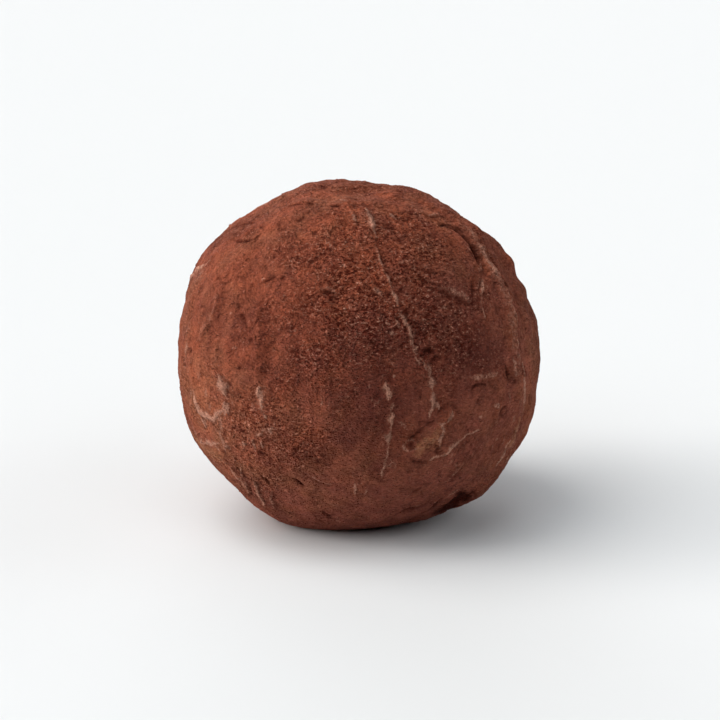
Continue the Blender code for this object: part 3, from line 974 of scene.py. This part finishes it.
class Paint:
    """A material under construction."""

    def __init__(self, name):
        self.material = bpy.data.materials.new(name)
        self.material.use_nodes = True
        self.tree = self.material.node_tree
        self.shader = self.tree.nodes["Principled BSDF"]
        for socket, value in COCOA_FINISH.items():
            self.shader.inputs[socket].default_value = value
        coords = self.tree.nodes.new("ShaderNodeTexCoord")
        self.place = coords.outputs["Object"]

    def add(self, kind, settings, sockets, output=0):
        """Adds a node: its settings first, then its sockets. Returns one of its outputs."""
        node = self.tree.nodes.new(kind)
        for name, value in settings.items():
            setattr(node, name, value)
        for name, value in sockets.items():
            if isinstance(value, Value):
                value = value.socket
            if isinstance(value, bpy.types.NodeSocket):
                self.tree.links.new(value, node.inputs[name])
            else:
                node.inputs[name].default_value = value
        return node.outputs[output]

    def attribute(self, name):
        """A layer that the mesh carries."""
        return Value(self, self.add("ShaderNodeAttribute", {"attribute_name": name}, {}, "Fac"))

    def noise(self, size, detail=2.0, roughness=0.55, stretch=(1.0, 1.0, 1.0)):
        """Noise from 0 to 1 with lumps of a given size in millimetres."""
        place = self.place
        if stretch != (1.0, 1.0, 1.0):
            place = self.add("ShaderNodeVectorMath", {"operation": "DIVIDE"}, {0: place, 1: stretch})
        return Value(self, self.add(
            "ShaderNodeTexNoise", {},
            {"Vector": place, "Scale": 1.0 / (size * MM), "Detail": detail, "Roughness": roughness}))

    def blend(self, amount, first, second):
        """A colour between two, by an amount from 0 to 1."""
        sockets = {0: amount}
        for name, colour in zip(MIX_COLOURS, (first, second)):
            sockets[name] = colour if isinstance(colour, bpy.types.NodeSocket) else (*colour, 1.0)
        return self.add("ShaderNodeMix", {"data_type": "RGBA"}, sockets, MIX_RESULT)

    def dim(self, colour, amount):
        """A colour multiplied by a number."""
        return self.add(
            "ShaderNodeVectorMath", {"operation": "SCALE"}, {0: colour, "Scale": amount})

    def bump(self, height, depth, under=None):
        """Small relief in the shading, so many millimetres deep, over another if one is given."""
        sockets = {"Height": height, "Distance": depth * MM, "Strength": 1.0}
        if under is not None:
            sockets["Normal"] = under
        return self.add("ShaderNodeBump", {}, sockets)

    def into(self, name, value):
        """Links a result to one of the shader's own sockets."""
        socket = value.socket if isinstance(value, Value) else value
        self.tree.links.new(socket, self.shader.inputs[name])


def cocoa_tone(paint, settings, speck):
    """The browns that all of the cocoa shares: red, drab and plum patches, deep and dry ones."""
    drab = 0.9 * paint.noise(2.6, detail=1.0).stretched(2.2) + paint.attribute("drab") - 0.18
    plum = 0.8 * paint.noise(1.9, detail=1.0).stretched(2.2) + paint.attribute("plum") - 0.25
    broad = paint.noise(5.0, detail=1.0).stretched(2.0)
    mottle = paint.noise(0.85, 3.0, 0.65).stretched(2.4)
    smears = paint.noise(0.8, stretch=(0.8, 0.8, 3.0)).stretched(2.2)
    tone = 0.24 * broad + 0.30 * mottle + 0.24 * smears + 0.30 * speck - 0.10
    tone = (tone + 0.50 * paint.attribute("deep")).held()
    dry = paint.blend(drab.held(), settings.cocoa, settings.drab)
    dry = paint.blend(plum.held(), dry, settings.plum)
    return paint.blend(tone, dry, settings.deep)


def skin_material(settings):
    """Pressed and clotted cocoa: mottled brown, pale where it is rubbed, with painted shade in cracks and
    between the crumbs and painted highlights on the crumbs' crests.
    """
    paint = Paint("cocoa_skin")
    grainy = paint.attribute("grainy")
    shade = paint.attribute("shade").held()
    # Crumbs, the finer dust on them, upright streaks, soft lumps and short nicks.
    crumbs = paint.noise(0.25, 2.5, 0.7, (1.35, 1.35, 0.85)).stretched(3.4)
    dust = paint.noise(0.155, 2.0, 0.6, (1.3, 1.3, 0.85)).stretched(3.2)
    streaks = paint.noise(0.23, stretch=(2.2, 2.2, 0.8)).stretched(2.4)
    soft = paint.noise(0.55, detail=1.0).stretched(2.2)
    nicks = paint.noise(0.21, detail=1.0, stretch=(1.5, 1.5, 1.0)).between(0.64, 0.78)
    nicks = nicks * (0.55 - 0.40 * grainy)
    # How far the crumbs stand apart: little in the pressed patches.
    light = paint.noise(1.5, detail=1.0).between(0.30, 0.70)
    rough = (0.06 + 0.24 * light) + (0.94 - 0.24 * light) * grainy
    # Painted shade between the crumbs, where their noise is low.
    shaded_pits = (1.0 - crumbs.between(0.10, 0.55)) * rough
    # Painted highlights on the crumbs' crests, drawn pale as if lit.
    crest_highlights = dust.between(0.55, 0.95) * crumbs.between(0.40, 0.80) * (0.15 + 0.85 * grainy)
    # Painted highlights on the crumbs' crests, the yellower film, what is rubbed pale, then painted shade
    # in the pits, nicks and cracks over all.
    colour = cocoa_tone(paint, settings, 0.4 * dust + 0.2 * streaks + 0.5 * soft)
    colour = paint.blend(0.72 * crest_highlights, colour, settings.rubbed)
    film = (paint.attribute("ochre") * (0.45 + 0.9 * crumbs)).held()
    colour = paint.blend(film, colour, settings.ochre)
    fibres = paint.noise(0.17, 2.0, 0.7, (0.8, 0.8, 1.6)).stretched(3.2)
    worn = (paint.attribute("rubbed") * (0.50 + 1.3 * fibres)).between(0.12, 0.64)
    colour = paint.blend(0.92 * worn, colour, settings.rubbed)
    # Painted shade: the gaps between the crumbs, then the nicks and cracks, in the shade colour.
    colour = paint.blend(0.90 * shaded_pits, colour, settings.painted_shade_colour)
    colour = paint.blend((0.60 * nicks + 0.9 * shade).held(), colour, settings.painted_shade_colour)
    # More painted shade, dimming the cracks, the gaps between the crumbs and the pitted clots; the
    # pressed patches are a darker tone.
    sunk = (1.0 - 0.50 * shade) * (1.0 - 0.30 * shaded_pits)
    sunk = sunk * (1.0 - 0.30 * paint.attribute("pitted_shade")) * (0.80 + 0.20 * grainy)
    fine = (1.0 - 0.28 * (1.0 - dust)) * (1.0 - 0.22 * (1.0 - streaks) * (1.0 - 0.7 * grainy))
    paint.into("Base Color", paint.dim(colour, SKIN_BRIGHTNESS * sunk * fine))
    relief = paint.bump(crumbs * rough, 0.44)
    relief = paint.bump(soft, 0.20, relief)
    relief = paint.bump(dust * (0.45 + 0.55 * rough), 0.17, relief)
    relief = paint.bump(streaks * (1.0 - 0.8 * grainy) - 1.2 * nicks, 0.07, relief)
    paint.into("Normal", relief)
    return paint.material


def grain_material(settings, name):
    """Loose cocoa: each grain has its own brown, near that of the skin under it."""
    paint = Paint(name)
    tint = paint.attribute("tint")
    colour = cocoa_tone(paint, settings, 0.9 - 0.7 * tint)
    colour = paint.blend(tint.between(0.75, 1.0) * 0.20, colour, settings.rubbed)
    worn = (paint.attribute("rubbed") * (0.4 + 0.6 * tint)).between(0.2, 1.0)
    colour = paint.blend(worn, colour, settings.rubbed)
    paint.into("Base Color", paint.dim(colour, 0.64 + 0.22 * tint))
    return paint.material


# ---------------------------------------------------------------------------
# Loose cocoa, scattered by a Geometry Nodes tree.

# How many lie on a square millimetre at the most.
GRAIN_CROWD = 60.0
CLUMP_CROWD = 6.0
SUNK_SHARE = 0.24                     # how far the middle of each lies in the skin, in widths
# Each is stretched three ways and scaled as a whole by chance, between these shares.
STRETCH_RANGE = ((0.65, 0.60, 0.55), (1.35, 1.15, 1.00))
SIZE_RANGE = (0.60, 1.20)
# Where the two faces in one square of the bake map have their corners.
LOWER_FACE = ((0.06, 0.04), (0.96, 0.04), (0.96, 0.94))
UPPER_FACE = ((0.04, 0.06), (0.94, 0.96), (0.04, 0.96))
CELL_GAP = 0.06                       # round each grain's cell of the bake map


class Tree:
    """A Geometry Nodes tree under construction, with named inputs."""

    def __init__(self, name):
        self.group = bpy.data.node_groups.new(name, "GeometryNodeTree")
        self.group.is_modifier = True
        self.group.interface.new_socket("Geometry", in_out="INPUT", socket_type="NodeSocketGeometry")
        self.group.interface.new_socket("Geometry", in_out="OUTPUT", socket_type="NodeSocketGeometry")
        self.identifiers = {}

    def named_input(self, name, kind):
        """Adds an input that the modifier shows under this name."""
        socket = self.group.interface.new_socket(name, in_out="INPUT", socket_type=kind)
        self.identifiers[name] = socket.identifier

    def begin(self):
        """Makes the input node once every input is named, and returns its outputs."""
        return self.group.nodes.new("NodeGroupInput").outputs

    def add(self, kind, settings, sockets):
        """Adds a node: its settings first, then its sockets. Returns its outputs."""
        node = self.group.nodes.new(kind)
        for name, value in settings.items():
            setattr(node, name, value)
        for name, value in sockets.items():
            if isinstance(value, bpy.types.NodeSocket):
                self.group.links.new(value, node.inputs[name])
            else:
                node.inputs[name].default_value = value
        return node.outputs

    def end(self, geometry):
        """Gives the tree its result."""
        output = self.group.nodes.new("NodeGroupOutput")
        self.group.links.new(geometry, output.inputs[0])


def scatter_tree(kernel):
    """Scatters grains over the skin where it is grainy. The kernel makes one grain's mesh."""
    tree = Tree("cocoa_scatter")
    for name in ("Width", "Spacing", "Crowd", "Stand"):
        tree.named_input(name, "NodeSocketFloat")
    tree.named_input("Seed", "NodeSocketInt")
    tree.named_input("Material", "NodeSocketMaterial")
    inputs = tree.begin()
    layer = tree.add("GeometryNodeInputNamedAttribute", {"data_type": "FLOAT"}, {"Name": "cover"})
    points = tree.add(
        "GeometryNodeDistributePointsOnFaces", {"distribute_method": "POISSON"},
        {"Mesh": inputs["Geometry"], "Distance Min": inputs["Spacing"], "Density Max": inputs["Crowd"],
         "Density Factor": layer["Attribute"], "Seed": inputs["Seed"]})
    tint = tree.add("FunctionNodeRandomValue", {"data_type": "FLOAT"}, {"Seed": 3})
    tinted = tree.add(
        "GeometryNodeStoreNamedAttribute", {"data_type": "FLOAT", "domain": "POINT"},
        {"Geometry": points["Points"], "Name": "tint", "Value": tint[1]})
    lift = tree.add(
        "ShaderNodeVectorMath", {"operation": "SCALE"},
        {0: points["Normal"], "Scale": inputs["Stand"]})
    lifted = tree.add(
        "GeometryNodeSetPosition", {}, {"Geometry": tinted["Geometry"], "Offset": lift[0]})
    turn = tree.add(
        "FunctionNodeRandomValue", {"data_type": "FLOAT_VECTOR"},
        {0: (0.0, 0.0, 0.0), 1: (math.tau, math.tau, math.tau), "Seed": 1})
    size = tree.add(
        "FunctionNodeRandomValue", {"data_type": "FLOAT_VECTOR"},
        {0: STRETCH_RANGE[0], 1: STRETCH_RANGE[1], "Seed": 2})
    share = tree.add(
        "FunctionNodeRandomValue", {"data_type": "FLOAT"},
        {2: SIZE_RANGE[0], 3: SIZE_RANGE[1], "Seed": 4})
    wide = tree.add(
        "ShaderNodeMath", {"operation": "MULTIPLY"}, {0: share[1], 1: inputs["Width"]})
    width = tree.add("ShaderNodeVectorMath", {"operation": "SCALE"}, {0: size[0], "Scale": wide[0]})
    grains = tree.add(
        "GeometryNodeInstanceOnPoints", {},
        {"Points": lifted["Geometry"], "Instance": kernel(tree), "Rotation": turn[0],
         "Scale": width[0]})
    real = tree.add("GeometryNodeRealizeInstances", {}, {"Geometry": grains["Instances"]})
    smooth = tree.add("GeometryNodeSetShadeSmooth", {}, {"Geometry": real["Geometry"]})
    finished = tree.add(
        "GeometryNodeSetMaterial", {}, {"Geometry": smooth["Geometry"], "Material": inputs["Material"]})
    tree.end(finished["Geometry"])
    return tree


def eight_sided(tree):
    """A fine grain, one unit wide: two four-sided pyramids, foot to foot."""
    return tree.add("GeometryNodeMeshUVSphere", {}, {"Segments": 4, "Rings": 2, "Radius": 0.5})["Mesh"]


def twenty_sided(tree):
    """A clump, one unit wide and rounder than a grain."""
    return tree.add("GeometryNodeMeshIcoSphere", {}, {"Radius": 0.5, "Subdivisions": 1})["Mesh"]


def scattered(skin, name, kernel, faces_each, **values):
    """Runs the scatter on a copy of the skin's object and returns the grains as a plain mesh."""
    host = bpy.data.objects.new("scatter_host", skin.data)
    bpy.context.scene.collection.objects.link(host)
    tree = scatter_tree(kernel)
    modifier = host.modifiers.new("scatter", "NODES")
    modifier.node_group = tree.group
    for label, value in values.items():
        modifier[tree.identifiers[label]] = value
    bpy.context.view_layer.update()
    evaluated = host.evaluated_get(bpy.context.evaluated_depsgraph_get())
    mesh = bpy.data.meshes.new_from_object(evaluated)
    host.modifiers.remove(modifier)
    bpy.data.objects.remove(host)
    bpy.data.node_groups.remove(tree.group)
    mesh.name = name
    lay_grain_net(mesh, faces_each)
    return mesh


def lay_grain_net(mesh, faces_each):
    """Gives each grain its own cell of the bake map, with two faces in each square of it."""
    for layer in list(mesh.uv_layers):
        mesh.uv_layers.remove(layer)
    faces = np.arange(len(mesh.polygons))
    grain, face = faces // faces_each, faces % faces_each
    side = math.ceil(math.sqrt(grain[-1] + 1))
    columns = math.ceil(math.sqrt(faces_each / 2))
    rows = math.ceil(faces_each / 2 / columns)
    square = face // 2
    corner = np.stack((square % columns, square // columns), -1) / (columns, rows)
    half = np.where((face % 2 == 0)[:, None, None], LOWER_FACE, UPPER_FACE) / (columns, rows)
    cell = np.stack((grain % side, grain // side), -1)
    net = (cell[:, None] + CELL_GAP / 2 + (1.0 - CELL_GAP) * (corner[:, None] + half)) / side
    mesh.uv_layers.new(name=BAKE_MAP).uv.foreach_set("vector", net.astype(np.float32).ravel())


def finish_piece(mesh, name):
    """Links a mesh as a piece of the truffle."""
    piece = bpy.data.objects.new(name, mesh)
    bpy.context.scene.collection.objects.link(piece)
    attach(piece, BODY)
    return piece


# ---------------------------------------------------------------------------
# The studio.

FLOOR_WIDTH = 6.0
LAMP_DISTANCE = 0.5                   # only for show: a sun lamp lights the same from anywhere
SENSOR_WIDTH = 36.0                   # millimetres
NEAR_CLIP = 0.01


def hang_lamp(name, lamp):
    """Hangs a lamp that lights everything from one side."""
    data = bpy.data.lights.new(name, "SUN")
    data.angle = math.radians(lamp.spread)
    data.energy = lamp.strength
    data.color = lamp.colour
    item = bpy.data.objects.new(name, data)
    bpy.context.scene.collection.objects.link(item)
    azimuth, elevation = math.radians(lamp.azimuth), math.radians(lamp.elevation)
    level = math.cos(elevation)
    way = Vector((math.cos(azimuth) * level, math.sin(azimuth) * level, math.sin(elevation)))
    item.rotation_euler = (-way).to_track_quat("-Z", "Y").to_euler()
    item.location = way * LAMP_DISTANCE


def darken_room():
    """Gives the room no light of its own, so that the lamps do it all."""
    world = bpy.data.worlds.new("dark_room")
    world.use_nodes = True
    world.node_tree.nodes["Background"].inputs["Strength"].default_value = 0.0
    bpy.context.scene.world = world


def lay_floor(settings):
    """A wide plain floor at the foot's level."""
    mesh = bpy.data.meshes.new("floor")
    half = FLOOR_WIDTH / 2
    corners = ((-half, -half, 0), (half, -half, 0), (half, half, 0), (-half, half, 0))
    mesh.from_pydata(corners, [], ((0, 1, 2, 3),))
    material = bpy.data.materials.new("pale_floor")
    material.use_nodes = True
    shader = material.node_tree.nodes["Principled BSDF"]
    shader.inputs["Base Color"].default_value = (*settings.floor, 1.0)
    shader.inputs["Roughness"].default_value = 0.9
    shader.inputs["Specular IOR Level"].default_value = 0.0
    mesh.materials.append(material)
    floor = bpy.data.objects.new("floor", mesh)
    bpy.context.scene.collection.objects.link(floor)


def set_camera(scene, settings):
    """A long lens a little above the truffle, aimed slightly past its middle."""
    middle = Vector((AIM_SIDEWAYS, 0.0, CENTRE.z + AIM_RISE))
    forward = Vector((0.0, math.cos(settings.elevation), -math.sin(settings.elevation)))
    data = bpy.data.cameras.new("camera")
    data.lens = settings.lens
    data.sensor_width = SENSOR_WIDTH
    data.clip_start = NEAR_CLIP
    camera = bpy.data.objects.new("camera", data)
    scene.collection.objects.link(camera)
    camera.location = middle - forward * settings.distance
    camera.rotation_euler = forward.to_track_quat("-Z", "Y").to_euler()
    scene.camera = camera


# ---------------------------------------------------------------------------
# Operators and the panel.


class TRUFFLE_OT_skin(Operator):
    """Lays the truffle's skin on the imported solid."""

    bl_idname = "truffle.skin"
    bl_label = "Skin"

    def execute(self, context):
        settings = context.scene.truffle_skin
        mesh = skin_mesh(settings)
        mesh.materials.append(skin_material(settings))
        skin = finish_piece(mesh, "truffle_skin")
        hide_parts(NODE)
        return {"FINISHED"}


class TRUFFLE_OT_grains(Operator):
    """Scatters fine grains and clumps of cocoa over the skin."""

    bl_idname = "truffle.grains"
    bl_label = "Loose cocoa"

    def execute(self, context):
        settings = context.scene.truffle_grains
        skin = context.scene.objects["truffle_skin"]
        colours = context.scene.truffle_skin
        kinds = (
            ("cocoa_grains", eight_sided, 8, settings.grain_width, settings.grain_gap, GRAIN_CROWD),
            ("cocoa_clumps", twenty_sided, 20, settings.clump_width, settings.clump_gap, CLUMP_CROWD),
        )
        for step, (name, kernel, faces_each, width, gap, crowd) in enumerate(kinds):
            mesh = scattered(
                skin, name, kernel, faces_each, Width=width, Spacing=gap, Crowd=crowd / MM ** 2,
                Stand=-SUNK_SHARE * width, Seed=settings.seed + step,
                Material=grain_material(colours, name))
            finish_piece(mesh, name)
        return {"FINISHED"}


class TRUFFLE_OT_studio(Operator):
    """Builds the floor, the lights and the camera."""

    bl_idname = "truffle.studio"
    bl_label = "Studio"

    def execute(self, context):
        settings = context.scene.truffle_studio
        scene = context.scene
        scene.view_settings.view_transform = "Standard"
        lay_floor(settings)
        for name, lamp in LAMPS.items():
            hang_lamp(name, lamp)
        darken_room()
        set_camera(scene, settings)
        return {"FINISHED"}


class TRUFFLE_PT_panel(Panel):
    """Lists what makes the truffle."""

    bl_label = "Truffle"
    bl_idname = "TRUFFLE_PT_panel"
    bl_space_type = "VIEW_3D"
    bl_region_type = "UI"
    bl_category = "Truffle"

    def draw(self, context):
        groups = (
            (TRUFFLE_OT_skin, context.scene.truffle_skin),
            (TRUFFLE_OT_grains, context.scene.truffle_grains),
            (TRUFFLE_OT_studio, context.scene.truffle_studio),
        )
        for operator, settings in groups:
            column = self.layout.column(align=True)
            for name in settings.__annotations__:
                column.prop(settings, name)
            column.operator(operator.bl_idname)


CLASSES = (
    SkinSettings, GrainSettings, StudioSettings,
    TRUFFLE_OT_skin, TRUFFLE_OT_grains, TRUFFLE_OT_studio, TRUFFLE_PT_panel,
)


def register():
    """Adds the settings, the operators and the panel to Blender."""
    for item in CLASSES:
        bpy.utils.register_class(item)
    bpy.types.Scene.truffle_skin = PointerProperty(type=SkinSettings)
    bpy.types.Scene.truffle_grains = PointerProperty(type=GrainSettings)
    bpy.types.Scene.truffle_studio = PointerProperty(type=StudioSettings)


def unregister():
    """Takes them away again."""
    del bpy.types.Scene.truffle_studio
    del bpy.types.Scene.truffle_grains
    del bpy.types.Scene.truffle_skin
    for item in reversed(CLASSES):
        bpy.utils.unregister_class(item)


def main():
    """Makes every piece and the studio."""
    register()
    bpy.ops.truffle.skin()
    bpy.ops.truffle.grains()
    bpy.ops.truffle.studio()


if __name__ == "__main__":
    main()
